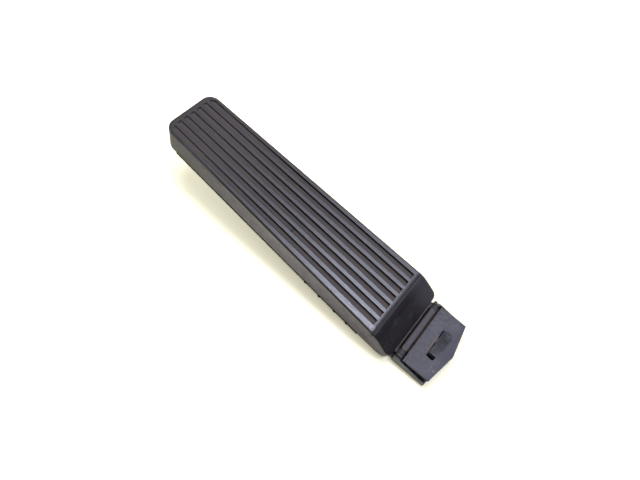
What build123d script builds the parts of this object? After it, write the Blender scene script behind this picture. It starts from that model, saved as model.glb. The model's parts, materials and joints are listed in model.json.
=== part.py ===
"""Floor-hinged accelerator pedal: a grooved, hollow moulded pedal on a moulded foot, joined by a steel pin.

Row frame, in millimetres: the origin is the middle of the foot's underside, +X runs along the pedal to its far end,
+Y is across it and +Z is up. The pedal is drawn in its own frame, with the hinge axis at the origin and its top face
level, and is then tilted and set on the hinge.
"""
import os
from math import atan2, cos, radians, sin, tan

from build123d import *

# Hinge
HINGE_X = 8.0
HINGE_HEIGHT = 5.8
PEDAL_ANGLE = 8.0
PIN_RADIUS = 1.25
PIN_PRESS_GAP = 0.01
PIN_RUN_GAP = 0.05
PIN_END_INSET = 0.4
HINGE_SIDE_GAP = 0.3

# Pedal, measured from the hinge axis along the pedal (reach) and square to its top face (height)
PEDAL_REACH = 209.1
PEDAL_TOP = 10.4
PEDAL_RIM = -9.4
NEAR_WIDTH = 56.25
FAR_WIDTH = 41.1
FLARE_REACH = 26.0
NEAR_FLARE = 0.6
FLARE_RADIUS = 200.0
FAR_CORNER_RADIUS = 7.8
NEAR_CORNER_RADIUS = 4.0
LIP_REACH = 4.2
LIP_TOP = 0.9
LIP_THICKNESS = 1.6
SLOPE_TOP_REACH = 20.1
SLOPE_EDGE_RADIUS = 16.0
HEEL_REACH = 13.5
HEEL_FLOOR_GAP = 0.15
HEEL_RADIUS = 20.0
EDGE_RADIUS = 1.4
RIM_RADIUS = 0.7
SIDE_WALL = 2.6
SLOPE_WALL = 2.8
TOP_WALL = 3.8
LEDGE_REACH = 3.2
LEDGE_TOP = 0.1
LEDGE_WIDTH = 42.0

# Tread grooves
GROOVE_COUNT = 7
GROOVE_DEPTH_NEAR = 1.3
GROOVE_DEPTH_FAR = 0.9
GROOVE_START = 26.0
GROOVE_END_LAND = 3.9
GROOVE_SIDE_LAND = 2.3
GROOVE_PITCH_NEAR = 6.89
GROOVE_PITCH_FAR = 5.47
GROOVE_SHIFT_NEAR = -0.35
GROOVE_WIDTH_NEAR = 4.25
GROOVE_WIDTH_FAR = 3.05

# Ribs and throttle guide under the pedal
RIB_WALL = 2.0
RIB_DEPTH = 7.5
CROSS_RIB_COUNT = 5
CHEEK_WALL = 3.0
CHEEK_GAP = 12.0
GUIDE_START = 112.0
GUIDE_SOLE_START = 150.0
GUIDE_SOLE_LENGTH = 30.0
GUIDE_END = 199.0
GUIDE_SLOT_LENGTH = 30.0
GUIDE_SLOT_WIDTH = 7.0
GUIDE_SLOT_HEIGHT = 8.5

# Hinge ears on the pedal
EAR_RADIUS = 2.6
EAR_THICKNESS = 3.3
EAR_OFFSET = 19.65
EAR_ARM_TOP = -0.2
EAR_ROOT_REACH = 16.0
EAR_ROOT_DROP = 5.0

# Foot
FOOT_HEIGHT = 8.3
FOOT_HINGE_END = 4.85
BLOCK_WIDTH = 47.4
BLOCK_TAPER = 0.8
BLOCK_SHOULDER = -15.05
BLOCK_NOSE = -19.25
NOSE_UNDERCUT_RUN = 2.0
NOSE_UNDERCUT_RISE = 5.0
BLOCK_EDGE_RADIUS = 0.5
PLATE_THICKNESS = 1.0
CHANNEL_DEPTH = 2.5
SOLE_WIDTH = 50.2
SOLE_THICKNESS = 2.6
SOLE_SHOULDER = -14.9
SOLE_NOSE = -17.0
RAIL_WALL = 0.8
RAIL_HINGE_HEIGHT = 6.4
RAIL_NOSE_HEIGHT = 3.4

# The foot's half of the hinge: a bar over the axis, on an apron
BAR_WIDTH = 4.4
BAR_LENGTH = 46.4
BAR_HEIGHT = 8.5
BAR_EDGE_RADIUS = 0.9
BAR_END_WALL = 1.0
APRON_REACH = 16.0
APRON_WIDTH = 48.8
APRON_HEIGHT = 2.4

# Snap tongue in the foot
WELL_EDGE = -4.6
WELL_SHOULDER = -9.9
WELL_NOSE = -11.5
WELL_WIDTH = 21.8
WELL_CORNER = 1.0
WELL_FLOOR = 1.2
TONGUE_ROOT = 2.0
TONGUE_THICKNESS = 2.2
TONGUE_DIP = 0.5
TONGUE_GAP = 0.85
TONGUE_END_GAP = 2.2
SCOOP_X = -8.6
SCOOP_Y = -7.6
SCOOP_DEPTH = 0.7
SCOOP_RADIUS = 12.0

# Run-out that carries a cutting or trimming solid clear of what it trims
CLEAR = 40.0


def across(profile, width):
    """Extrude a profile drawn in the XZ plane evenly to both sides."""
    return extrude(profile, amount=width / 2, both=True)


def side_sketch(*points):
    """A closed polygon in the XZ plane."""
    return Plane.XZ * make_face(Polyline(*points, close=True))


def floor_height(reach):
    """Height, in the pedal's frame, of the surface that the foot stands on."""
    return -(HINGE_HEIGHT + reach * sin(radians(PEDAL_ANGLE))) / cos(radians(PEDAL_ANGLE))


def half_width(reach):
    """Half the pedal's outer width at a distance from the hinge, without the flare at its near end."""
    share = (reach - LIP_REACH) / (PEDAL_REACH - LIP_REACH)
    return (NEAR_WIDTH + (FAR_WIDTH - NEAR_WIDTH) * share) / 2


def pedal_plan(side_inset, end_inset):
    """Tapered plan of the pedal, flared at its near end, with rounded corners; drawn in by insets, full height."""
    near = LIP_REACH + side_inset
    far = PEDAL_REACH - end_inset
    halves = [
        (near, half_width(near) + NEAR_FLARE - side_inset),
        (FLARE_REACH, half_width(FLARE_REACH) - side_inset),
        (far, half_width(far) - side_inset),
    ]
    right = [(reach, -half) for reach, half in halves]
    outline = make_face(Polyline(*right, *reversed(halves), close=True))
    outline = fillet(outline.vertices().group_by(Axis.X)[1], FLARE_RADIUS)
    outline = fillet(outline.vertices().group_by(Axis.X)[-1], FAR_CORNER_RADIUS - side_inset)
    outline = fillet(outline.vertices().group_by(Axis.X)[0], NEAR_CORNER_RADIUS - side_inset)
    return extrude(outline, amount=CLEAR, both=True)


def pedal_profile():
    """Side view of the pedal: level top, sloped near end, and a rim that bends to the floor and curls up to the lip."""
    lip_under = (LIP_REACH, LIP_TOP - LIP_THICKNESS)
    crest = (SLOPE_TOP_REACH, PEDAL_TOP)
    tilt = radians(PEDAL_ANGLE)
    lift = HEEL_FLOOR_GAP / cos(tilt)
    bend = ((HEEL_FLOOR_GAP - HINGE_HEIGHT - PEDAL_RIM * cos(tilt)) / sin(tilt), PEDAL_RIM)
    heel = (HEEL_REACH, floor_height(HEEL_REACH) + lift)
    outline = Polyline(
        lip_under,
        (LIP_REACH, LIP_TOP),
        crest,
        (PEDAL_REACH, PEDAL_TOP),
        (PEDAL_REACH, PEDAL_RIM),
        bend,
        heel,
    )
    curl = TangentArc(heel, lip_under, tangent=(-cos(tilt), sin(tilt)))
    face = make_face([*outline.edges(), curl])
    face = fillet(face.vertices().sort_by_distance(crest)[0], SLOPE_EDGE_RADIUS)
    return fillet(face.vertices().sort_by_distance(bend)[0], HEEL_RADIUS)


def pedal_block():
    """The pedal's outer form, still solid, with its edges rounded."""
    block = across(Plane.XZ * pedal_profile(), 2 * NEAR_WIDTH) & pedal_plan(0, 0)
    top = block.faces().sort_by(Axis.Z)[-1]
    block = fillet(top.edges().sort_by(SortBy.LENGTH)[-2:], EDGE_RADIUS)
    rim = block.faces().sort_by(Axis.Z)[0]
    return fillet(rim.edges().sort_by(SortBy.LENGTH)[-2:], RIM_RADIUS)


def slope_angle():
    """Angle of the sloped wall to the top face, in radians."""
    return atan2(PEDAL_TOP - LIP_TOP, SLOPE_TOP_REACH - LIP_REACH)


def slope_inner(reach):
    """Height of the sloped wall's inner face at a distance from the hinge."""
    return LIP_TOP + (reach - LIP_REACH) * tan(slope_angle()) - SLOPE_WALL / cos(slope_angle())


def ceiling():
    """Height of the hollow's ceiling."""
    return PEDAL_TOP - TOP_WALL


def rib_root():
    """Height that ribs run up to, halfway through the wall that is left under the grooves."""
    return ceiling() + (TOP_WALL - GROOVE_DEPTH_NEAR) / 2


def cavity():
    """The open hollow under the pedal."""
    ceiling_reach = LIP_REACH + (ceiling() - slope_inner(LIP_REACH)) / tan(slope_angle())
    profile = side_sketch(
        (ceiling_reach, ceiling()),
        (PEDAL_REACH, ceiling()),
        (PEDAL_REACH, -CLEAR),
        (0, -CLEAR),
        (0, slope_inner(0)),
    )
    return across(profile, 2 * NEAR_WIDTH) & pedal_plan(SIDE_WALL, SIDE_WALL)


def grooves():
    """The fanned tread grooves, shallower to the far end; the outer ones follow the rounded far corners."""
    middle = (GROOVE_COUNT - 1) / 2
    depth = across(side_sketch(
        (GROOVE_START, PEDAL_TOP - GROOVE_DEPTH_NEAR),
        (PEDAL_REACH, PEDAL_TOP - GROOVE_DEPTH_FAR),
        (PEDAL_REACH, CLEAR),
        (GROOVE_START, CLEAR),
    ), NEAR_WIDTH)
    field = pedal_plan(GROOVE_SIDE_LAND, GROOVE_END_LAND) & depth
    cutters = []
    for index in range(GROOVE_COUNT):
        near_y = (index - middle) * GROOVE_PITCH_NEAR + GROOVE_SHIFT_NEAR
        far_y = (index - middle) * GROOVE_PITCH_FAR
        near_half = GROOVE_WIDTH_NEAR / 2
        far_half = GROOVE_WIDTH_FAR / 2
        outline = make_face(Polyline(
            (GROOVE_START, near_y - near_half),
            (PEDAL_REACH, far_y - far_half),
            (PEDAL_REACH, far_y + far_half),
            (GROOVE_START, near_y + near_half),
            close=True,
        ))
        cutters.append(extrude(outline, amount=CLEAR) & field)
    return cutters


def guide_cheek():
    """One cheek of the throttle guide: a rib along the hollow that deepens to the floor, with a slot for the lever."""
    shallow = ceiling() - RIB_DEPTH
    root = rib_root()
    far = PEDAL_REACH - SIDE_WALL / 2
    sole_end = GUIDE_SOLE_START + GUIDE_SOLE_LENGTH
    profile = side_sketch(
        (SLOPE_TOP_REACH, root),
        (far, root),
        (far, shallow),
        (GUIDE_END, shallow),
        (sole_end, floor_height(sole_end)),
        (GUIDE_SOLE_START, floor_height(GUIDE_SOLE_START)),
        (GUIDE_START, shallow),
        (SLOPE_TOP_REACH, shallow),
    )
    middle = GUIDE_SOLE_START + GUIDE_SOLE_LENGTH / 2
    slot = Plane.XZ * Pos(middle, floor_height(middle)) * Rot(0, 0, -PEDAL_ANGLE) \
        * Pos(0, GUIDE_SLOT_HEIGHT) * SlotOverall(GUIDE_SLOT_LENGTH, GUIDE_SLOT_WIDTH)
    return across(profile - slot, CHEEK_WALL)


def cross_ribs():
    """Ribs across the hollow between its side walls."""
    first = SLOPE_TOP_REACH + RIB_WALL
    pitch = (GUIDE_START - first) / (CROSS_RIB_COUNT - 1)
    height = rib_root() - ceiling() + RIB_DEPTH
    middle = rib_root() - height / 2
    inside = pedal_plan(SIDE_WALL / 2, SIDE_WALL / 2)
    ribs = [Pos(first + number * pitch, 0, middle) * Box(RIB_WALL, NEAR_WIDTH, height)
            for number in range(CROSS_RIB_COUNT)]
    return [rib & inside for rib in ribs]


def ledge():
    """A thin ledge under the lip that reaches towards the hinge."""
    under = LIP_TOP - LIP_THICKNESS
    return across(side_sketch(
        (LEDGE_REACH, under),
        (LEDGE_REACH, LEDGE_TOP),
        (LIP_REACH + LIP_THICKNESS, LEDGE_TOP),
        (LIP_REACH + LIP_THICKNESS, under),
    ), LEDGE_WIDTH)


def ear():
    """One hinge ear: a round eye on the hinge axis, and an arm that runs low into the sloped wall."""
    arm = side_sketch(
        (0, EAR_ARM_TOP),
        (LIP_REACH, EAR_ARM_TOP),
        (EAR_ROOT_REACH, slope_inner(EAR_ROOT_REACH) + SLOPE_WALL / 2),
        (EAR_ROOT_REACH, slope_inner(EAR_ROOT_REACH) - EAR_ROOT_DROP),
        (0, -EAR_RADIUS),
    )
    eye = Plane.XZ * Circle(EAR_RADIUS)
    bore = Plane.XZ * Circle(PIN_RADIUS + PIN_RUN_GAP)
    return across(arm + eye - bore, EAR_THICKNESS)


def on_hinge(shape):
    """Tilt a shape drawn in the pedal's frame and set it on the hinge."""
    return Pos(HINGE_X, 0, HINGE_HEIGHT) * Rot(0, -PEDAL_ANGLE, 0) * shape


def pedal_body():
    """The grooved moulding with its hollow, ribs, guide, ledge and ears."""
    body = pedal_block() - cavity()
    cheek_y = (CHEEK_GAP + CHEEK_WALL) / 2
    pieces = [*cross_ribs(), ledge()]
    for side in (-1, 1):
        pieces.append(Pos(0, side * cheek_y, 0) * guide_cheek())
        pieces.append(Pos(0, side * EAR_OFFSET, 0) * ear())
    body = body.fuse(*pieces)
    return on_hinge(body - grooves())


def foot_plan(half, shoulder_half, shoulder, nose):
    """Plan of a layer of the foot, with a straight hinge end and a shallow V nose."""
    return make_face(Polyline(
        (FOOT_HINGE_END, -half),
        (FOOT_HINGE_END, half),
        (shoulder, shoulder_half),
        (nose, 0),
        (shoulder, -shoulder_half),
        close=True,
    ))


def foot_block():
    """The body of the foot: its top edge is rounded, its nose cut back below, and a channel runs under each side."""
    half = BLOCK_WIDTH / 2
    block = extrude(foot_plan(half, half - BLOCK_TAPER / 2, BLOCK_SHOULDER, BLOCK_NOSE), amount=FOOT_HEIGHT)
    bottom = block.faces().sort_by(Axis.Z)[0]
    nose = bottom.edges().sort_by(Axis.X)[:2]
    block = chamfer(nose, NOSE_UNDERCUT_RUN, NOSE_UNDERCUT_RISE, reference=bottom)
    block = fillet(block.faces().sort_by(Axis.Z)[-1].edges(), BLOCK_EDGE_RADIUS)
    height = FOOT_HEIGHT - PLATE_THICKNESS - SOLE_THICKNESS
    channel = Box(2 * CLEAR, 2 * CHANNEL_DEPTH, height)
    return block - [Pos(0, side * half, SOLE_THICKNESS + height / 2) * channel for side in (-1, 1)]


def sole():
    """The sole under the block, and a rail along each side that falls from the hinge to the nose."""
    half = SOLE_WIDTH / 2
    plate = extrude(foot_plan(half, half, SOLE_SHOULDER, SOLE_NOSE), amount=SOLE_THICKNESS)
    bar_end = HINGE_X + BAR_WIDTH / 2
    profile = side_sketch(
        (SOLE_SHOULDER, 0),
        (SOLE_SHOULDER, RAIL_NOSE_HEIGHT),
        (FOOT_HINGE_END, RAIL_HINGE_HEIGHT),
        (bar_end, RAIL_HINGE_HEIGHT),
        (bar_end, 0),
    )
    rail_y = half - RAIL_WALL / 2
    return plate.fuse(*[Pos(0, side * rail_y, 0) * across(profile, RAIL_WALL) for side in (-1, 1)])


def hinge_bar():
    """The foot's half of the hinge: a bar with a slot for each of the pedal's ears, closed off to the rails."""
    apron_length = APRON_REACH - FOOT_HINGE_END
    apron = Pos(FOOT_HINGE_END + apron_length / 2, 0, APRON_HEIGHT / 2) \
        * Box(apron_length, APRON_WIDTH, APRON_HEIGHT)
    bar = Pos(HINGE_X, 0, BAR_HEIGHT / 2) * Box(BAR_WIDTH, BAR_LENGTH, BAR_HEIGHT)
    bar = fillet(bar.faces().sort_by(Axis.Z)[-1].edges(), BAR_EDGE_RADIUS)
    closing = Pos(HINGE_X, 0, RAIL_HINGE_HEIGHT / 2) * Box(BAR_WIDTH, SOLE_WIDTH - RAIL_WALL, RAIL_HINGE_HEIGHT)
    slot_width = EAR_THICKNESS + 2 * HINGE_SIDE_GAP
    slots = [Pos(HINGE_X, side * EAR_OFFSET, APRON_HEIGHT + CLEAR / 2) * Box(CLEAR, slot_width, CLEAR)
             for side in (-1, 1)]
    return (bar + closing - slots).fuse(apron)


def well_plan(margin):
    """D-shaped plan of the well round the snap tongue, made larger by a margin except on its straight side."""
    half = WELL_WIDTH / 2 + margin
    straight = Polyline((WELL_SHOULDER, -half), (WELL_EDGE, -half), (WELL_EDGE, half), (WELL_SHOULDER, half))
    curve = ThreePointArc((WELL_SHOULDER, half), (WELL_NOSE - margin, 0), (WELL_SHOULDER, -half))
    outline = make_face([*straight.edges(), curve])
    corners = outline.vertices().group_by(Axis.X)[-1]
    return fillet(corners, WELL_CORNER)


def tongue():
    """The snap tongue: rooted at the nose and at one end, dipping to a straight edge on the hinge side."""
    tip = WELL_EDGE - TONGUE_GAP
    root = WELL_NOSE - TONGUE_ROOT
    low = FOOT_HEIGHT - TONGUE_DIP
    profile = side_sketch(
        (root, low),
        (WELL_NOSE, FOOT_HEIGHT),
        (tip, low),
        (tip, low - TONGUE_THICKNESS),
        (root, low - TONGUE_THICKNESS),
    )
    rooted_end = -WELL_WIDTH / 2 - TONGUE_ROOT
    free_end = WELL_WIDTH / 2 - TONGUE_END_GAP
    blade = Pos(0, (rooted_end + free_end) / 2, 0) * across(profile, free_end - rooted_end)
    return blade & extrude(well_plan(TONGUE_ROOT), amount=CLEAR)


def along_hinge(radius, start, end):
    """A cylinder on the hinge axis between two places across the foot."""
    return Pos(HINGE_X, (start + end) / 2, HINGE_HEIGHT) * Rot(90, 0, 0) * Cylinder(radius, end - start)


def pin_end():
    """Place across the foot where the pin's blind bore ends."""
    return BAR_LENGTH / 2 - BAR_END_WALL


def foot_base():
    """The moulded foot with its side rails, snap tongue and hinge bar."""
    well = Pos(0, 0, WELL_FLOOR) * extrude(well_plan(0), amount=CLEAR)
    scoop = Pos(SCOOP_X, SCOOP_Y, FOOT_HEIGHT - SCOOP_DEPTH + SCOOP_RADIUS) * Sphere(SCOOP_RADIUS)
    bore = along_hinge(PIN_RADIUS + PIN_PRESS_GAP, -CLEAR, pin_end())
    foot = foot_block().fuse(sole(), hinge_bar()) - well
    return foot.fuse(tongue()) - [scoop, bore]


def hinge_pin():
    """The steel pin, a little short of its bore at both ends."""
    return along_hinge(PIN_RADIUS, PIN_END_INSET - SOLE_WIDTH / 2, pin_end() - PIN_RUN_GAP)


os.makedirs("parts", exist_ok=True)
for name, make in (("pedal_body", pedal_body), ("foot_base", foot_base), ("hinge_pin", hinge_pin)):
    export_step(make(), f"parts/{name}.step")
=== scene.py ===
"""Accelerator pedal: finishes, dirt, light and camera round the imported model.

Lengths are metres, or millimetres where a name ends in MM or a heading says so.
"""

import json
import random
from math import cos, pi, radians, sin

import bmesh
import bpy
from mathutils import Matrix, Vector


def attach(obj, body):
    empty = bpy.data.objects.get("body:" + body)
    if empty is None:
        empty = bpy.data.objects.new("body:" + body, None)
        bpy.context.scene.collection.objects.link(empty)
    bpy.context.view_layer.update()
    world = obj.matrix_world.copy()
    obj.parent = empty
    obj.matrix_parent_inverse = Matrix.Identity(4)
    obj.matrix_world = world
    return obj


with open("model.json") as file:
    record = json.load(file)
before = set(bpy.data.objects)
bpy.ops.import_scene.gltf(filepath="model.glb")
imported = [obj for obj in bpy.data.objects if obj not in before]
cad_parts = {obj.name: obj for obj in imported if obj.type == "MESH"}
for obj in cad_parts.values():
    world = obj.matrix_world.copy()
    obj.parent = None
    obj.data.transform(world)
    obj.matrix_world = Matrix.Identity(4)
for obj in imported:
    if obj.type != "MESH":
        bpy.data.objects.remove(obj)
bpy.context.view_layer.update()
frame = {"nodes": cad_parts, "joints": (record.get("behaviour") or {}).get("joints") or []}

MM = 0.001
HINGE_MM = Vector(frame["joints"][0]["pos_m"]) / MM

# Camera: where it looks on the floor, from how far, and its angles in degrees
AIM = Vector((0.09771, -0.00806, 0.0))
CAMERA_DISTANCE = 0.31811
CAMERA_AZIMUTH = -66.29
CAMERA_ELEVATION = 63.28
CAMERA_ROLL = 18.07
LENS_MM = 25.288
SENSOR_MM = 36.0

# The pedal in its own frame: along it from the hinge (reach), across it, and square to its top (height)
PEDAL_ANGLE = radians(8.0)
PEDAL_LENGTH_MM = 209.1
PEDAL_TOP_MM = 10.4
PEDAL_RIM_MM = -9.4
LIP_REACH_MM = 4.2
HALF_NEAR_MM = 28.1
HALF_FAR_MM = 20.5
EDGE_RADIUS_MM = 1.4
SLOPE_REACH_MM = 22.0
LEDGE_REACH_MM = 3.2
LEDGE_TOP_MM = 0.1
LEDGE_HALF_MM = 21.0

# The tread grooves, in the same frame
GROOVE_START_MM = 26.0
GROOVE_DEPTH_NEAR_MM = 1.3
GROOVE_DEPTH_FAR_MM = 0.9
GROOVE_LAND_MM = 2.0
GROOVE_PITCH_NEAR_MM = 6.89
GROOVE_PITCH_FAR_MM = 5.47
GROOVE_SHIFT_NEAR_MM = -0.35
GROOVE_HALF_NEAR_MM = 2.12
GROOVE_HALF_FAR_MM = 1.52

# The foot, in the row frame
FOOT_TOP_MM = 8.3
FOOT_HALF_MM = 23.7
FOOT_HINGE_END_MM = 4.85
HINGE_BAR_START_MM = 5.8
HINGE_BAR_END_MM = 10.2
APRON_TOP_MM = 2.4
WELL_EDGE_MM = -4.6
WELL_NOSE_MM = -11.5
TONGUE_GAP_MM = 0.85
TONGUE_DIP_MM = 0.5

# Lamp: its level is how bright a white surface that faces it looks
KEY_DIRECTION = Vector((0.36, -0.24, 0.90))
KEY_DISTANCE = 2.0
KEY_SIZE = 0.9
KEY_LEVEL = 0.43
KEY_COLOUR = (0.96, 0.97, 1.02)

# Sky: colours, and fades from and to along one axis of a direction, then the levels there if not 0 and 1
DOME_COLOUR = (0.50, 0.47, 0.42)
DOME_DARK = (0.035, 0.033, 0.036)
DOME_RISE = (0.35, 0.75)
DOME_LEFT = (-0.1, 0.4, 1.0, 0.45)
DOME_NEAR = (-0.62, -0.42)
GLOW = (0.30, 0.29, 0.32)
GLOW_RIGHT = (-0.5, -0.8)
BACKDROP = (0.78, 0.77, 0.75)
BACKDROP_TOP = (0.12, 0.04)
BACKDROP_NEAR = (-0.70, -0.45)
HORIZON = (0.1, 0.3)

# Windows in the sky: middle and half size as slopes from straight up, and colour; edges in shares of a size
BROAD_WINDOW = ((0.00, -0.47), (0.50, 0.22), (1.78, 1.66, 1.87))
BRIGHT_WINDOW = ((-0.30, -0.27), (0.20, 0.15), (19.0, 19.6, 24.2))
WINDOW_EDGE = (1.2, 0.7)

# Floor: its own colour, and what is added where it is looked at, from and to along it with the levels there;
# the rise along it is painted light that lightens the shadow towards the far end
FLOOR_SIZE = 6.0
FLOOR_DROP = 0.0002
FLOOR_COLOUR = (0.94, 0.92, 0.73)
FLOOR_SEEN = (1.0, 0.97, 0.76)
FLOOR_PAINTED_LIGHT_ALONG = (-0.02, 0.20, 0.30, 0.68)

# Noise patterns: scale per millimetre along each axis, detail and roughness
MOTTLE = ((0.16, 0.16, 0.16), 5.0, 0.6)
STREAKS = ((0.03, 1.1, 1.1), 5.0, 0.6)
HAIRLINES = ((0.06, 4.0, 4.0), 3.0, 0.6)
GRAIN = ((5.0, 5.0, 5.0), 3.0, 0.6)
WALL_STREAKS = ((0.05, 0.6, 0.6), 5.0, 0.65)
SCUFF_LINES = ((0.25, 1.6, 1.6), 4.0, 0.7)
FLECKS = ((1.1, 1.1, 1.1), 5.0, 0.7)
RAGGED = ((0.9, 0.9, 0.9), 4.0, 0.7)
FOOT_MOTTLE = ((0.45, 0.45, 0.45), 4.0, 0.6)
FOOT_SCRATCHES = ((3.0, 0.22, 1.0), 4.0, 0.7)
RUST_PATCHES = ((0.9, 0.9, 0.9), 6.0, 0.65)

# Cuts of the patterns: from and to in the noise, then the levels there if not 0 and 1
MOTTLE_CUT = (0.3, 0.7)
STREAK_CUT = (0.25, 0.75, 0.7, 1.0)
HAIRLINE_CUT = (0.5, 0.75)
WALL_STREAK_CUT = (0.3, 0.7)
WALL_PATCH_CUT = (0.0, 1.0, 0.75, 1.0)
SCUFF_LINE_CUT = (0.4, 0.6)
LEDGE_RUST_CUT = (0.42, 0.58)
FOOT_MOTTLE_CUT = (0.38, 0.62)
FOOT_SCUFF_CUT = (0.48, 0.66, 0.0, 0.8)
BAR_DUST_CUT = (0.3, 0.7, 0.3, 1.0)
PIN_RUST_CUT = (0.4, 0.62)
CRUMB_CUT = (0.35, 0.65)

# Fades at the edges of regions: from and to, in millimetres from the line that each follows
GROOVE_START_FADE = (-0.5, 0.0)
GROOVE_LAND_FADE = (-0.4, 0.0)
GROOVE_FLOOR_FADE = (0.3, 0.1)
GROOVE_SIDE_FADE = (-0.3, 0.0)
GROOVE_CORNER_SHADE_FADE = (1.1, 0.6)
RIB_TOP_FADE = (-0.4, -0.1)
SLOPE_FADE = (0.5, -0.5)
LIP_FADE = (0.4, 0.0)
LEDGE_TOP_FADE = (0.4, 0.1)
LEDGE_END_FADE = (0.0, -2.5)
EARS_FADE = (0.1, -0.3)
WALL_TOP_FADE = (0.2, 1.2)
WALL_RIM_FADE = (0.7, 1.3)
TONGUE_FADE = (-0.4, -0.9)
BAR_FADE = (-0.2, 0.6)
RAIL_FADE = (1.0, 1.3)

# Changes along or across a part: from and to in millimetres, then the levels there if not 0 and 1
SHOD_ALONG = (95.0, 30.0)
CORNER_SHADE_ALONG = (200.0, 120.0, 0.2, 1.0)
GROOVE_SIDE_ALONG = (90.0, 190.0)
DUST_MIDDLE_MM = 105.0
DUST_OFF_MIDDLE = (0.0, 70.0, 0.75, 1.0)
# Across the slope, from its dark left to its pale right: painted reflected light
SLOPE_LIGHT_ACROSS = (-4.0, -24.0)
WALL_ALONG = (110.0, 195.0)
WALL_DUST_NEAR = (90.0, 25.0, 1.0, 0.64)
NOSE_ALONG = (-8.0, -17.0, 0.0, 0.8)
WELL_SHADE_ACROSS = (-9.0, 6.0, 0.64, 0.22)

# Level of the wall's dust at the two ends of WALL_ALONG
WALL_DUST_FAR = (1.0, 0.2)

# Faces, by how far they face across the pedal: from and to, for the wall at the two ends of WALL_ALONG
LEVEL_FACE = (0.7, 0.4)
GROOVE_SIDE_FACE = (0.5, 0.8)
WALL_FACE_NEAR = (0.8, 0.97)
WALL_FACE_FAR = (0.2, 0.5)
RAIL_FACE = (0.8, 0.97)

# Colours of the pedal and of the dirt on it, and of the shade and light painted on it
BLACK_DARK = (0.0075, 0.0068, 0.0085)
BLACK_PALE = (0.0125, 0.0113, 0.0135)
WORN = (0.055, 0.055, 0.062)
DUST_GREY = (0.068, 0.061, 0.062)
DUST_BROWN = (0.088, 0.066, 0.051)
# Painted shade: black at the feet of the grooves' side walls
GROOVE_CORNER_SHADE = (0.003, 0.003, 0.003)
# The slope dark on the left and paler on the right: painted reflected light
SLOPE_LEFT = (0.018, 0.0165, 0.020)
SLOPE_RIGHT_PAINTED_LIGHT = (0.050, 0.046, 0.057)
# Painted shade: the grooves' side walls black near the slope, paler towards the far end
GROOVE_SIDE_SHADE_NEAR = (0.002, 0.002, 0.002)
GROOVE_SIDE_FAR = (0.070, 0.063, 0.060)
WALL_DARK = (0.180, 0.165, 0.198)
WALL_PALE = (0.270, 0.248, 0.293)
SCUFF = (0.240, 0.235, 0.245)
SMEAR = (0.032, 0.031, 0.037)
NICK = (0.006, 0.005, 0.005)
HINGE_DUST = (0.038, 0.034, 0.035)
LEDGE_RUST = (0.055, 0.034, 0.026)

# Marks on the pedal: middle and half size in millimetres of the pedal's own frame
SCUFFS = [((50.0, 22.8, PEDAL_TOP_MM), (6.5, 1.7, 2.0)), ((61.0, 23.6, PEDAL_TOP_MM), (3.5, 0.9, 2.0)),
          ((38.0, 17.2, PEDAL_TOP_MM), (5.0, 0.8, 2.0)), ((25.6, 24.2, 10.2), (2.0, 2.6, 2.0))]
NICKS = [((103.2, 12.6, 9.2), (1.0, 1.7, 0.9)), ((173.0, 21.9, 6.4), (2.0, 2.0, 1.3)),
         ((128.0, 23.5, -2.0), (1.2, 2.0, 0.8))]
SMEARS = [((16.0, 9.75, 8.0), (3.0, 5.0, 4.0)), ((10.5, -2.0, 4.7), (2.0, 6.0, 3.0))]

# Colours of the foot, and of the pin
FOOT_DARK = (0.024, 0.026, 0.036)
FOOT_PALE = (0.070, 0.073, 0.088)
FOOT_NOSE = (0.018, 0.020, 0.033)
FOOT_SCUFF = (0.120, 0.121, 0.135)
# Painted shade in the well over the snap tongue
WELL_SHADE_COLOUR = (0.006, 0.006, 0.009)
TONGUE_EDGE = (0.080, 0.062, 0.053)
RAIL = (0.120, 0.117, 0.117)
SPECK = (0.42, 0.42, 0.41)
STEEL = (0.42, 0.40, 0.38)
PIN_RUST = (0.16, 0.07, 0.035)

# Marks on the foot: middle and half size in millimetres of the row frame
FOOT_SPECKS = [((-13.95, 16.1, FOOT_TOP_MM), (0.45, 0.4, 1.0))]
FOOT_SCUFFS = [((-13.0, 14.0, FOOT_TOP_MM), (3.5, 8.0, 1.0)), ((0.5, -10.0, FOOT_TOP_MM), (3.5, 9.0, 1.0)),
               ((-10.0, -18.0, FOOT_TOP_MM), (5.0, 4.0, 1.0))]
TONGUE_EDGE_DIRT = ((-4.25, 1.5, FOOT_TOP_MM), (0.8, 8.5, 0.6))
# Where shade is painted in the well
WELL_SHADE = ((-5.6, -1.2, FOOT_TOP_MM), (8.4, 11.0, 4.0))

# Edges of marks: how ragged, and the share of a mark's size within which it doesn't fade
SPOT_RAGGED = 0.35
SPOT_CORE = 0.55
WELL_SHADE_CORE = 0.6

# Shine: roughness, with its cut of the noise where it varies, and shares of a second pattern in that noise
SLOPE_ROUGH = 0.22
STRIP_ROUGH = 0.8
STRIP_END_MM = (23.3, 24.8)
LAND_ROUGH = 0.46
LAND_FADE = (-1.0, 0.0)
RIB_ROUGH = (0.4, 1.0, 0.26, 0.36)
RIB_HAIRLINES = 0.4
GROOVE_ROUGH = 0.75
DUST_ROUGH = 0.68
FOOT_ROUGH = (0.5, 1.0, 0.44, 0.60)
FOOT_SCRATCH_SHARE = 0.5
WELL_ROUGH = 0.95
STEEL_ROUGH = 0.35
PIN_RUST_ROUGH = 0.85
PIN_RUST_METALLIC = 0.1
CRUMB_ROUGH = (0.3, 0.7, 0.75, 0.95)
PEDAL_IOR = 1.5
PEDAL_SPECULAR = 0.75
FOOT_IOR = 1.55
CRUMB_SPECULAR = 0.15

# Depths of the finest relief
PEDAL_GRAIN_MM = 0.02
NICK_DEPTH_MM = 0.15
FOOT_GRAIN_MM = 0.03
PIN_RUST_MM = 0.03
CRUMB_RELIEF_MM = 0.08

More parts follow.
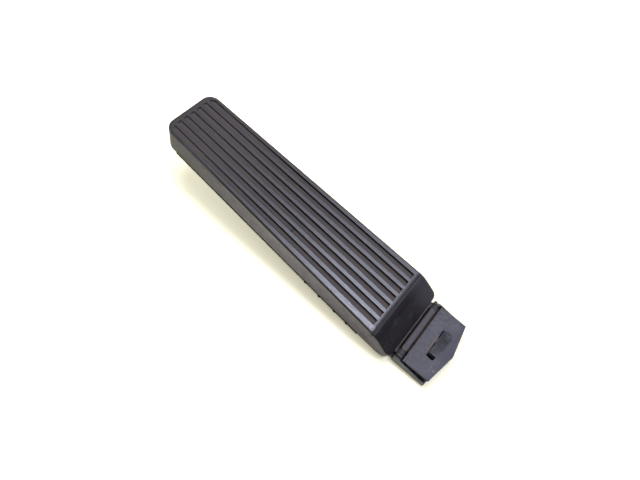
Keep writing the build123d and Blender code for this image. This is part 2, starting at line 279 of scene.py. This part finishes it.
# Rows of dirt across the foot: from and to, spacing, and half sizes of a grain, in millimetres
TAN_ROW = ((-3.7, -0.2), 0.5, (0.46, 0.42, 0.45))
BROWN_ROW = ((2.7, 8.4), 0.5, (0.46, 0.45, 0.45))
HINGE_ROW = ((-16.8, 16.8), 0.7, (0.38, 0.6, 1.4))
BAR_ROW = ((-16.8, 16.8), 0.9, (0.42, 0.6, 0.4))

# Where the rows lie: below the foot's top, or out from the bar and above the apron
TAN_DEPTH_MM = 0.35
BROWN_DEPTH_MM = 0.75
BAR_DIRT_DEPTH_MM = 0.8
HINGE_DIRT_OUT_MM = 0.3
HINGE_DIRT_RISE_MM = 1.2

# Grains: how finely each is divided, and how uneven they are in shares of size and spacing, and in place
GRAIN_SUBDIVISIONS = 2
GRAIN_SWELL = (0.8, 1.1)
GRAIN_SIZES = (0.75, 1.15)
GRAIN_SPREAD = (0.2, 0.8)
GRAIN_ALONG_MM = (-0.1, 0.1)
GRAIN_HEIGHT_MM = (-0.25, 0.1)

# Painted shade at the left end of the tongue: a row of black beads along it, from just off the slit
END_SHADE_COUNT = 8
END_SHADE_START_MM = 0.9
END_SHADE_STEP_MM = 0.6
END_SHADE_ACROSS_MM = 8.1
END_SHADE_SIZE_MM = (0.5, 0.65, 0.12)

# Flash nibs on the pedal's left rim, and a line of black beads along it that is painted shade under the rim:
# reach of the nibs, the line's ends, half sizes, and heights above the rim
RIM_NIBS_MM = (75.0, 62.3, 48.5, 37.5)
NIB_SIZE_MM = (1.4, 1.0, 0.7)
NIB_RISE_MM = 0.15
RIM_LINE_MM = (29.0, 199.0)
RIM_LINE_STEP_MM = 2.0
RIM_LINE_SIZE_MM = (1.6, 0.6, 0.9)
RIM_LINE_RISE_MM = 0.6
FLASH_SINK_MM = 0.05

# Dirt, and the black of painted shade and flash: two colours each
DIRT_TAN = ((0.16, 0.14, 0.11), (0.30, 0.27, 0.22))
DIRT_BROWN = ((0.045, 0.030, 0.024), (0.115, 0.080, 0.066))
DIRT_RUST = ((0.022, 0.014, 0.011), (0.120, 0.064, 0.042))
BLACK_SHADE_AND_FLASH = ((0.003, 0.003, 0.003), (0.008, 0.007, 0.007))


class Tree:
    """Short-hand for building one node tree."""

    def __init__(self, owner):
        owner.use_nodes = True
        self.tree = owner.node_tree
        self.tree.nodes.clear()

    def new(self, kind, inputs=None, **settings):
        """A node with settings, and with inputs that are numbers, colours or other nodes' outputs."""
        made = self.tree.nodes.new("ShaderNode" + kind)
        for key, value in settings.items():
            setattr(made, key, value)
        for key, value in (inputs or {}).items():
            self.feed(made.inputs[key], value)
        return made

    def feed(self, socket, value):
        """Link a node's output to a socket, or set the socket to a number or colour."""
        if isinstance(value, bpy.types.NodeSocket):
            self.tree.links.new(value, socket)
        elif socket.type == "RGBA" and len(value) == 3:
            socket.default_value = (*value, 1.0)
        else:
            socket.default_value = value

    def math(self, operation, first, second=0.0):
        return self.new("Math", {0: first, 1: second}, operation=operation).outputs[0]

    def ramp(self, value, low, high, to_low, to_high):
        """A straight ramp from one level to another, held beyond its ends."""
        inputs = {"Value": value, "From Min": low, "From Max": high, "To Min": to_low, "To Max": to_high}
        return self.new("MapRange", inputs).outputs["Result"]

    def step(self, value, low, high, to_low=0.0, to_high=1.0):
        """A smooth step from one level to another as value goes from low to high."""
        inputs = {"Value": value, "From Min": low, "From Max": high, "To Min": to_low, "To Max": to_high}
        return self.new("MapRange", inputs, interpolation_type="SMOOTHSTEP").outputs["Result"]

    def fade(self, value, line, offsets, *levels):
        """A smooth step whose ends are given by their offsets from a line."""
        return self.step(value, line + offsets[0], line + offsets[1], *levels)

    def both(self, *masks):
        """Where all masks hold: their product."""
        result = masks[0]
        for mask in masks[1:]:
            result = self.math("MULTIPLY", result, mask)
        return result

    def either(self, *masks):
        """Where any mask holds: the largest of them."""
        result = masks[0]
        for mask in masks[1:]:
            result = self.math("MAXIMUM", result, mask)
        return result

    def mix(self, factor, first, second):
        """A colour between two."""
        made = self.new("Mix", data_type="RGBA")
        for key, value in {"Factor": factor, "A": first, "B": second}.items():
            self.feed(next(s for s in made.inputs if s.name == key and s.enabled), value)
        return next(s for s in made.outputs if s.enabled)

    def coat(self, colour, coats):
        """A colour under coats, each a mask and a colour, laid on in turn."""
        for mask, top in coats:
            colour = self.mix(mask, colour, top)
        return colour

    def stretch(self, vector, scales):
        return self.new("VectorMath", {0: vector, 1: scales}, operation="MULTIPLY").outputs[0]

    def offset(self, vector, origin):
        return self.new("VectorMath", {0: vector, 1: origin}, operation="SUBTRACT").outputs[0]

    def length(self, vector):
        return self.new("VectorMath", {0: vector}, operation="LENGTH").outputs["Value"]

    def noise(self, place, pattern):
        """One of the noise patterns, from about 0.2 to 0.8."""
        scales, detail, roughness = pattern
        inputs = {"Vector": self.stretch(place, scales), "Scale": 1.0}
        inputs.update({"Detail": detail, "Roughness": roughness})
        return self.new("TexNoise", inputs).outputs["Fac"]

    def bump(self, height, depth, normal=None):
        inputs = {"Height": height, "Strength": 1.0, "Distance": depth}
        if normal is not None:
            inputs["Normal"] = normal
        return self.new("Bump", inputs).outputs["Normal"]

    def finish(self, shader, output="OutputMaterial"):
        self.tree.links.new(shader.outputs[0], self.new(output).inputs["Surface"])


def row_mm(tree):
    """Place on the object in its own frame, in millimetres."""
    place = tree.new("TexCoord").outputs["Object"]
    return tree.new("VectorMath", {0: place, "Scale": 1 / MM}, operation="SCALE").outputs[0]


def pedal_mm(tree):
    """Place on the pedal in the pedal's own level frame, from the hinge, in millimetres."""
    inputs = {"Vector": tree.offset(row_mm(tree), HINGE_MM), "Center": (0, 0, 0), "Angle": PEDAL_ANGLE}
    return tree.new("VectorRotate", inputs, rotation_type="Y_AXIS").outputs[0]


def split(tree, vector):
    return tree.new("SeparateXYZ", {0: vector}).outputs


def sideways(tree):
    """How far a surface faces across the pedal, which stays the same as it turns."""
    return tree.math("ABSOLUTE", split(tree, tree.new("NewGeometry").outputs["Normal"])[1])


def spot(tree, place, middle, size, ragged=SPOT_RAGGED, core=SPOT_CORE):
    """A mask of a mark that fades outside its core; middle and half size in millimetres."""
    distance = tree.length(tree.stretch(tree.offset(place, middle), [1 / s for s in size]))
    distance = tree.math("ADD", distance, tree.math("MULTIPLY", tree.noise(place, RAGGED), 2 * ragged))
    return tree.step(distance, 1.0 + ragged, core + ragged)


def any_spot(tree, place, spots):
    """A mask of several ragged marks."""
    return tree.either(*(spot(tree, place, middle, size) for middle, size in spots))


def along_tread(tree, reach, near, far):
    """A value that changes evenly along the tread."""
    return tree.ramp(reach, GROOVE_START_MM, PEDAL_LENGTH_MM, near, far)


def along_wall(tree, reach, near, far):
    """A value that changes along the far half of the pedal's sides."""
    return tree.ramp(reach, *WALL_ALONG, near, far)


def groove_foot(tree, reach, across):
    """Distance from the nearer foot of a groove's side walls, inwards, in millimetres."""
    pitch = along_tread(tree, reach, GROOVE_PITCH_NEAR_MM, GROOVE_PITCH_FAR_MM)
    shifted = tree.math("SUBTRACT", across, along_tread(tree, reach, GROOVE_SHIFT_NEAR_MM, 0.0))
    cell = tree.math("ADD", tree.math("DIVIDE", shifted, pitch), 0.5)
    from_middle = tree.math("ABSOLUTE", tree.math("SUBTRACT", tree.math("FRACT", cell), 0.5))
    half = along_tread(tree, reach, GROOVE_HALF_NEAR_MM, GROOVE_HALF_FAR_MM)
    return tree.math("SUBTRACT", half, tree.math("MULTIPLY", from_middle, pitch))


def tread_masks(tree, axes, turned):
    """Masks of the floors and of the side walls of the tread grooves."""
    reach, across, height = axes
    on_tread = tree.fade(reach, GROOVE_START_MM, GROOVE_START_FADE)
    floor = along_tread(tree, reach, PEDAL_TOP_MM - GROOVE_DEPTH_NEAR_MM, PEDAL_TOP_MM - GROOVE_DEPTH_FAR_MM)
    above = tree.math("SUBTRACT", height, floor)
    near_floor = tree.step(tree.math("ABSOLUTE", above), *GROOVE_FLOOR_FADE)
    floors = tree.both(on_tread, tree.step(turned, *LEVEL_FACE), near_floor)
    half = tree.ramp(reach, LIP_REACH_MM, PEDAL_LENGTH_MM, HALF_NEAR_MM, HALF_FAR_MM)
    from_edge = tree.math("SUBTRACT", half, tree.math("ABSOLUTE", across))
    inside = tree.fade(from_edge, GROOVE_LAND_MM, GROOVE_LAND_FADE)
    upright = tree.step(turned, *GROOVE_SIDE_FACE)
    return floors, tree.both(on_tread, inside, upright, tree.step(above, *GROOVE_SIDE_FADE))


def outer_wall(tree, reach, height, turned):
    """Mask of the dusty part of the pedal's sides, between its dark top edge and a dark band at its rim that
    is painted shade.
    """
    edge = along_wall(tree, reach, EDGE_RADIUS_MM, -EDGE_RADIUS_MM)
    below_top = tree.math("SUBTRACT", PEDAL_TOP_MM, height)
    below_edge = tree.step(tree.math("SUBTRACT", below_top, edge), *WALL_TOP_FADE)
    # The dust stops short of the rim, leaving a dark band there as painted shade
    above_rim = tree.fade(height, PEDAL_RIM_MM, WALL_RIM_FADE)
    face = [along_wall(tree, reach, near, far) for near, far in zip(WALL_FACE_NEAR, WALL_FACE_FAR)]
    return tree.both(tree.step(turned, *face), below_edge, above_rim)


def pedal_masks(tree, place, axes):
    """Masks of the pedal's regions and marks, by name."""
    reach, across, height = axes
    turned = sideways(tree)
    floors, sides = tread_masks(tree, axes, turned)
    groove_feet = tree.step(groove_foot(tree, reach, across), *GROOVE_CORNER_SHADE_FADE)
    scuff_lines = tree.step(tree.noise(place, SCUFF_LINES), *SCUFF_LINE_CUT)
    ledge = tree.both(tree.fade(reach, LIP_REACH_MM, LIP_FADE),
                      tree.fade(height, LEDGE_TOP_MM, LEDGE_TOP_FADE))
    rusty = tree.fade(tree.math("ABSOLUTE", across), LEDGE_HALF_MM, LEDGE_END_FADE)
    return {
        "floors": floors,
        "sides": sides,
        # Painted shade at the feet of the grooves' side walls
        "corner_shade": tree.both(floors, groove_feet, tree.step(reach, *CORNER_SHADE_ALONG)),
        "slope": tree.fade(reach, SLOPE_REACH_MM, SLOPE_FADE),
        "wall": outer_wall(tree, reach, height, turned),
        "scuffs": tree.both(any_spot(tree, place, SCUFFS), scuff_lines),
        "smears": tree.either(*(spot(tree, place, *smear, ragged=0.0, core=0.0) for smear in SMEARS)),
        "nicks": any_spot(tree, place, NICKS),
        "ears": tree.fade(reach, LEDGE_REACH_MM, EARS_FADE),
        "ledge": ledge,
        "rust": tree.both(ledge, rusty, tree.step(tree.noise(place, FLECKS), *LEDGE_RUST_CUT)),
    }


def pedal_colour(tree, place, axes, masks):
    """Black plastic under wear, dust, scuffs and rust, with shade painted in the grooves and light painted
    on the slope.
    """
    reach, across, height = axes
    patches = tree.step(tree.noise(place, MOTTLE), *MOTTLE_CUT)
    shod = tree.both(tree.step(reach, *SHOD_ALONG), tree.fade(height, PEDAL_TOP_MM, RIB_TOP_FADE))
    worn = tree.both(shod, tree.step(tree.noise(place, HAIRLINES), *HAIRLINE_CUT))
    off_middle = tree.math("ABSOLUTE", tree.math("SUBTRACT", reach, DUST_MIDDLE_MM))
    streaks = tree.step(tree.noise(place, STREAKS), *STREAK_CUT)
    dust = tree.both(masks["floors"], streaks, tree.ramp(off_middle, *DUST_OFF_MIDDLE))
    wall = tree.both(masks["wall"], tree.step(patches, *WALL_PATCH_CUT),
                     along_wall(tree, reach, *WALL_DUST_FAR), tree.ramp(reach, *WALL_DUST_NEAR))
    wall_streaks = tree.step(tree.noise(place, WALL_STREAKS), *WALL_STREAK_CUT)
    return tree.coat(tree.mix(patches, BLACK_DARK, BLACK_PALE), [
        (worn, WORN),
        (dust, tree.mix(patches, DUST_GREY, DUST_BROWN)),
        # Painted shade at the feet of the grooves' side walls
        (masks["corner_shade"], GROOVE_CORNER_SHADE),
        # Painted reflected light: the slope paler to the right
        (masks["slope"], tree.mix(tree.step(across, *SLOPE_LIGHT_ACROSS), SLOPE_LEFT, SLOPE_RIGHT_PAINTED_LIGHT)),
        # Painted shade on the grooves' side walls, black near the slope and paler towards the far end
        (masks["sides"], tree.mix(tree.step(reach, *GROOVE_SIDE_ALONG), GROOVE_SIDE_SHADE_NEAR, GROOVE_SIDE_FAR)),
        (wall, tree.mix(wall_streaks, WALL_DARK, WALL_PALE)),
        (masks["scuffs"], SCUFF),
        (masks["smears"], SMEAR),
        (masks["nicks"], NICK),
        (masks["ears"], HINGE_DUST),
        (masks["rust"], LEDGE_RUST),
    ])


def pedal_roughness(tree, place, reach, masks):
    """Ribs polished unevenly, a smooth slope with a dull strip past it, and dull dust, scuffs and rust."""
    hairlines = tree.math("MULTIPLY", tree.noise(place, HAIRLINES), RIB_HAIRLINES)
    rough = tree.step(tree.math("ADD", tree.noise(place, STREAKS), hairlines), *RIB_ROUGH)
    rough = tree.fade(reach, GROOVE_START_MM, LAND_FADE, LAND_ROUGH, rough)
    rough = tree.step(reach, *STRIP_END_MM, STRIP_ROUGH, rough)
    rough = tree.fade(reach, SLOPE_REACH_MM, SLOPE_FADE, rough, SLOPE_ROUGH)
    rough = tree.step(masks["floors"], 0.0, 1.0, rough, GROOVE_ROUGH)
    dull = tree.either(*(masks[name] for name in ("wall", "scuffs", "ears", "ledge")))
    return tree.either(rough, tree.math("MULTIPLY", dull, DUST_ROUGH), masks["sides"], masks["corner_shade"])


def pedal_plastic():
    """Worn black moulded plastic: polished ribs, dusty grooves and walls, scuffs, rust at the hinge, painted
    shade in the grooves and painted light on the slope.
    """
    material = bpy.data.materials.new("pedal_plastic")
    tree = Tree(material)
    place = pedal_mm(tree)
    axes = split(tree, place)
    masks = pedal_masks(tree, place, axes)
    grain = tree.both(tree.noise(place, GRAIN), tree.step(axes[0], SLOPE_REACH_MM, GROOVE_START_MM))
    normal = tree.bump(grain, PEDAL_GRAIN_MM * MM)
    normal = tree.bump(tree.math("SUBTRACT", 1.0, masks["nicks"]), NICK_DEPTH_MM * MM, normal)
    tree.finish(tree.new("BsdfPrincipled", {
        "Base Color": pedal_colour(tree, place, axes, masks),
        "Roughness": pedal_roughness(tree, place, axes[0], masks),
        "Normal": normal,
        "IOR": PEDAL_IOR,
        "Specular IOR Level": PEDAL_SPECULAR,
    }))
    return material


def well_shade(tree, place):
    """Mask of the soft shade painted in the well, over the snap tongue."""
    along, across, _ = split(tree, place)
    on_tongue = tree.fade(along, WELL_EDGE_MM, TONGUE_FADE)
    middle = spot(tree, place, *WELL_SHADE, ragged=0.0, core=WELL_SHADE_CORE)
    return tree.both(on_tongue, tree.ramp(across, *WELL_SHADE_ACROSS), middle)


def foot_colour(tree, place, mottle, scratches, shade):
    """Black plastic under scuffs, shade painted in the well, a dirty tongue, a dusty hinge bar and pale
    rails.
    """
    along, across, _ = split(tree, place)
    scuffs = tree.both(any_spot(tree, place, FOOT_SCUFFS), tree.step(scratches, *FOOT_SCUFF_CUT))
    bar = tree.both(tree.fade(along, HINGE_BAR_START_MM, BAR_FADE), tree.step(mottle, *BAR_DUST_CUT))
    rail = tree.both(tree.fade(tree.math("ABSOLUTE", across), FOOT_HALF_MM, RAIL_FADE),
                     tree.step(sideways(tree), *RAIL_FACE))
    return tree.coat(tree.mix(tree.step(mottle, *FOOT_MOTTLE_CUT), FOOT_DARK, FOOT_PALE), [
        (tree.step(along, *NOSE_ALONG), FOOT_NOSE),
        (scuffs, FOOT_SCUFF),
        # Painted shade in the well
        (shade, WELL_SHADE_COLOUR),
        (spot(tree, place, *TONGUE_EDGE_DIRT), TONGUE_EDGE),
        (bar, HINGE_DUST),
        (any_spot(tree, place, FOOT_SPECKS), SPECK),
        (rail, RAIL),
    ])


def foot_plastic():
    """Black moulded plastic of the foot, mottled and scratched across, and dull in the well."""
    material = bpy.data.materials.new("foot_plastic")
    tree = Tree(material)
    place = row_mm(tree)
    mottle = tree.noise(place, FOOT_MOTTLE)
    scratches = tree.noise(place, FOOT_SCRATCHES)
    shade = well_shade(tree, place)
    uneven = tree.math("ADD", mottle, tree.math("MULTIPLY", scratches, FOOT_SCRATCH_SHARE))
    tree.finish(tree.new("BsdfPrincipled", {
        "Base Color": foot_colour(tree, place, mottle, scratches, shade),
        "Roughness": tree.ramp(shade, 0.0, 1.0, tree.step(uneven, *FOOT_ROUGH), WELL_ROUGH),
        "Normal": tree.bump(tree.noise(place, GRAIN), FOOT_GRAIN_MM * MM),
        "IOR": FOOT_IOR,
    }))
    return material


def pin_steel():
    """Plain steel with a film of rust."""
    material = bpy.data.materials.new("pin_steel")
    tree = Tree(material)
    rust = tree.step(tree.noise(row_mm(tree), RUST_PATCHES), *PIN_RUST_CUT)
    tree.finish(tree.new("BsdfPrincipled", {
        "Base Color": tree.mix(rust, STEEL, PIN_RUST),
        "Metallic": tree.step(rust, 0.0, 1.0, 1.0, PIN_RUST_METALLIC),
        "Roughness": tree.step(rust, 0.0, 1.0, STEEL_ROUGH, PIN_RUST_ROUGH),
        "Normal": tree.bump(rust, PIN_RUST_MM * MM),
    }))
    return material


def crumb_finish(name, colours):
    """Dull crumbly grains between two colours, for dirt, for flash and for black beads of painted shade."""
    material = bpy.data.materials.new(name)
    tree = Tree(material)
    flecks = tree.noise(row_mm(tree), FLECKS)
    tree.finish(tree.new("BsdfPrincipled", {
        "Base Color": tree.mix(tree.step(flecks, *CRUMB_CUT), *colours),
        "Roughness": tree.step(flecks, *CRUMB_ROUGH),
        "Normal": tree.bump(flecks, CRUMB_RELIEF_MM * MM),
        "Specular IOR Level": CRUMB_SPECULAR,
    }))
    return material


def dress(node, material):
    """Give a CAD node its finish."""
    mesh = frame["nodes"][node].data
    mesh.materials.clear()
    mesh.materials.append(material)


def crumbs(name, body, material, grains, seed):
    """A piece of uneven grains on a body, given by middles and half sizes in the row frame's millimetres."""
    draw = random.Random(seed)
    shape = bmesh.new()
    for middle, size in grains:
        ball = bmesh.ops.create_icosphere(shape, subdivisions=GRAIN_SUBDIVISIONS, radius=1.0)
        for vertex in ball["verts"]:
            swell = draw.uniform(*GRAIN_SWELL)
            vertex.co = Vector([(m + s * swell * c) * MM for m, s, c in zip(middle, size, vertex.co)])
    for face in shape.faces:
        face.smooth = True
    mesh = bpy.data.meshes.new(name)
    shape.to_mesh(mesh)
    shape.free()
    mesh.materials.append(material)
    piece = bpy.data.objects.new(name, mesh)
    bpy.context.scene.collection.objects.link(piece)
    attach(piece, body)


def grains_across(row, along, height, seed):
    """The grains of a row across the foot, each a little out of line and uneven in size."""
    (low, high), spacing, size = row
    draw = random.Random(seed)
    grains = []
    for i in range(round((high - low) / spacing)):
        middle = (along + draw.uniform(*GRAIN_ALONG_MM),
                  low + (i + draw.uniform(*GRAIN_SPREAD)) * spacing,
                  height + draw.uniform(*GRAIN_HEIGHT_MM))
        grains.append((middle, [s * draw.uniform(*GRAIN_SIZES) for s in size]))
    return grains


def pedal_point(reach, across, height):
    """A place of the pedal's own frame in millimetres of the row frame, at rest."""
    return HINGE_MM + Vector((reach * cos(PEDAL_ANGLE) - height * sin(PEDAL_ANGLE), across,
                              reach * sin(PEDAL_ANGLE) + height * cos(PEDAL_ANGLE)))


def rim_point(reach, rise):
    """A place on the left wall just above its rim, in millimetres of the row frame."""
    share = (reach - LIP_REACH_MM) / (PEDAL_LENGTH_MM - LIP_REACH_MM)
    half = HALF_NEAR_MM + share * (HALF_FAR_MM - HALF_NEAR_MM)
    return pedal_point(reach, half - FLASH_SINK_MM, PEDAL_RIM_MM + rise)


def make_slit_dirt(slit):
    """Tan crumbs and brown grime in the slit of the snap tongue."""
    tan = grains_across(TAN_ROW, slit, FOOT_TOP_MM - TAN_DEPTH_MM, seed=3)
    crumbs("tongue_crumbs", "foot", crumb_finish("dirt_tan", DIRT_TAN), tan, seed=4)
    brown = grains_across(BROWN_ROW, slit, FOOT_TOP_MM - BROWN_DEPTH_MM, seed=5)
    crumbs("tongue_grime", "foot", crumb_finish("dirt_brown", DIRT_BROWN), brown, seed=6)


def make_hinge_dirt():
    """Rusty grime in the gaps on both sides of the hinge bar."""
    rust = crumb_finish("dirt_rust", DIRT_RUST)
    outside = HINGE_BAR_END_MM + HINGE_DIRT_OUT_MM
    grains = grains_across(HINGE_ROW, outside, APRON_TOP_MM + HINGE_DIRT_RISE_MM, seed=7)
    crumbs("hinge_grime", "foot", rust, grains, seed=8)
    gap = (FOOT_HINGE_END_MM + HINGE_BAR_START_MM) / 2
    grains = grains_across(BAR_ROW, gap, FOOT_TOP_MM - BAR_DIRT_DEPTH_MM, seed=11)
    crumbs("bar_grime", "foot", rust, grains, seed=12)


def make_tongue_end_shade(slit, material):
    """A row of black beads on the tongue's sloping top, at its left end: painted shade in the gap there."""
    tongue_length = WELL_EDGE_MM - TONGUE_GAP_MM - WELL_NOSE_MM
    grains = []
    for i in range(END_SHADE_COUNT):
        along = slit - END_SHADE_START_MM - END_SHADE_STEP_MM * i
        dip = TONGUE_DIP_MM * (along - WELL_NOSE_MM) / tongue_length
        grains.append(((along, END_SHADE_ACROSS_MM, FOOT_TOP_MM - dip), END_SHADE_SIZE_MM))
    crumbs("tongue_end_shade", "foot", material, grains, seed=10)


def make_flash_and_rim_shade(material):
    """The nibs of flash on the pedal's left rim, and a thin line of black beads along it: painted shade
    under the rim.
    """
    grains = [(rim_point(reach, NIB_RISE_MM), NIB_SIZE_MM) for reach in RIM_NIBS_MM]
    start, end = RIM_LINE_MM
    for i in range(round((end - start) / RIM_LINE_STEP_MM)):
        grains.append((rim_point(start + i * RIM_LINE_STEP_MM, RIM_LINE_RISE_MM), RIM_LINE_SIZE_MM))
    crumbs("rim_flash_and_shade", "pedal", material, grains, seed=9)


def make_dirt_and_shade():
    """Dirt round the snap tongue and the hinge bar, flash nibs on the pedal's left rim, and black beads of
    painted shade at the tongue's end and along that rim.
    """
    slit = WELL_EDGE_MM - TONGUE_GAP_MM / 2
    make_slit_dirt(slit)
    make_hinge_dirt()
    black = crumb_finish("black_shade_and_flash", BLACK_SHADE_AND_FLASH)
    make_tongue_end_shade(slit, black)
    make_flash_and_rim_shade(black)


def make_floor():
    """A pale floor that takes the object's shadow, lifted to white where it is looked at, and lifted more
    towards the far end as painted light that lightens the shadow there.
    """
    bpy.ops.mesh.primitive_plane_add(size=FLOOR_SIZE, location=(0, 0, -FLOOR_DROP))
    floor = bpy.context.object
    floor.name = "floor"
    material = bpy.data.materials.new("floor")
    tree = Tree(material)
    lit = tree.new("BsdfDiffuse", {"Color": FLOOR_COLOUR})
    path = tree.new("LightPath").outputs
    looked_at = tree.either(path["Is Camera Ray"], path["Is Glossy Ray"], path["Is Transmission Ray"])
    along = split(tree, tree.new("TexCoord").outputs["Object"])[0]
    # The lift rises along the floor: painted light that lightens the shadow towards the far end
    strength = tree.math("MULTIPLY", looked_at, tree.ramp(along, *FLOOR_PAINTED_LIGHT_ALONG))
    seen = tree.new("Emission", {"Color": FLOOR_SEEN, "Strength": strength})
    tree.finish(tree.new("AddShader", {0: lit.outputs[0], 1: seen.outputs[0]}))
    floor.data.materials.append(material)


def window_mask(tree, axes, middle, size):
    """Mask of an oval window in the sky."""
    height = tree.math("MAXIMUM", axes[2], HORIZON[0])
    slopes = [tree.math("DIVIDE", axes[i], height) for i in (0, 1)]
    offsets = [tree.math("DIVIDE", tree.math("SUBTRACT", slopes[i], middle[i]), size[i]) for i in (0, 1)]
    distance = tree.length(tree.new("CombineXYZ", {0: offsets[0], 1: offsets[1]}).outputs[0])
    return tree.both(tree.step(distance, *WINDOW_EDGE), tree.step(axes[2], *HORIZON))


def backdrop_mask(tree, axes):
    """Mask of the backdrop: the whole sky for the camera; a low band, not past the foot, for other rays."""
    looked_at = tree.new("LightPath").outputs["Is Camera Ray"]
    low = tree.both(tree.step(axes[2], *BACKDROP_TOP), tree.step(axes[0], *BACKDROP_NEAR))
    return tree.either(looked_at, low)


def make_world():
    """A warm dome, darker to the left, a glow and two windows on the right, and a pale backdrop."""
    world = bpy.data.worlds.new("room")
    bpy.context.scene.world = world
    tree = Tree(world)
    axes = split(tree, tree.new("TexCoord").outputs["Generated"])
    dome = tree.both(tree.step(axes[2], *DOME_RISE), tree.step(axes[1], *DOME_LEFT),
                     tree.step(axes[0], *DOME_NEAR))
    windows = [(window_mask(tree, axes, middle, size), light)
               for middle, size, light in (BROAD_WINDOW, BRIGHT_WINDOW)]
    colour = tree.coat(tree.mix(tree.step(axes[1], *GLOW_RIGHT), DOME_DARK, GLOW), [
        (dome, DOME_COLOUR),
        *windows,
        (backdrop_mask(tree, axes), BACKDROP),
    ])
    tree.finish(tree.new("Background", {"Color": colour, "Strength": 1.0}), "OutputWorld")


def make_key():
    """The soft overhead lamp that throws the shadow; the sheen comes from the sky's windows."""
    data = bpy.data.lights.new("key", "AREA")
    data.shape = "SQUARE"
    data.size = KEY_SIZE
    data.color = KEY_COLOUR
    data.energy = KEY_LEVEL * (pi * KEY_DISTANCE) ** 2
    key = bpy.data.objects.new("key", data)
    bpy.context.scene.collection.objects.link(key)
    away = KEY_DIRECTION.normalized()
    key.location = AIM + KEY_DISTANCE * away
    key.rotation_euler = away.to_track_quat("Z", "Y").to_euler()
    key.visible_glossy = False


def make_camera():
    """The camera at the photograph's place: aimed at a point of the floor, then rolled."""
    azimuth, elevation, roll = (radians(a) for a in (CAMERA_AZIMUTH, CAMERA_ELEVATION, CAMERA_ROLL))
    ahead = Vector((cos(elevation) * cos(azimuth), cos(elevation) * sin(azimuth), -sin(elevation)))
    level = Vector((sin(azimuth), -cos(azimuth), 0.0))
    upright = level.cross(ahead)
    right = level * cos(roll) + upright * sin(roll)
    up = upright * cos(roll) - level * sin(roll)
    data = bpy.data.cameras.new("camera")
    data.sensor_width = SENSOR_MM
    data.lens = LENS_MM
    camera = bpy.data.objects.new("camera", data)
    bpy.context.scene.collection.objects.link(camera)
    turn = Matrix((right, up, -ahead)).transposed().to_4x4()
    camera.matrix_world = Matrix.Translation(AIM - CAMERA_DISTANCE * ahead) @ turn
    bpy.context.scene.camera = camera


dress("pedal_body", pedal_plastic())
dress("foot_base", foot_plastic())
dress("hinge_pin", pin_steel())
make_dirt_and_shade()
make_floor()
make_world()
make_key()
make_camera()
bpy.context.scene.view_settings.view_transform = "Standard"
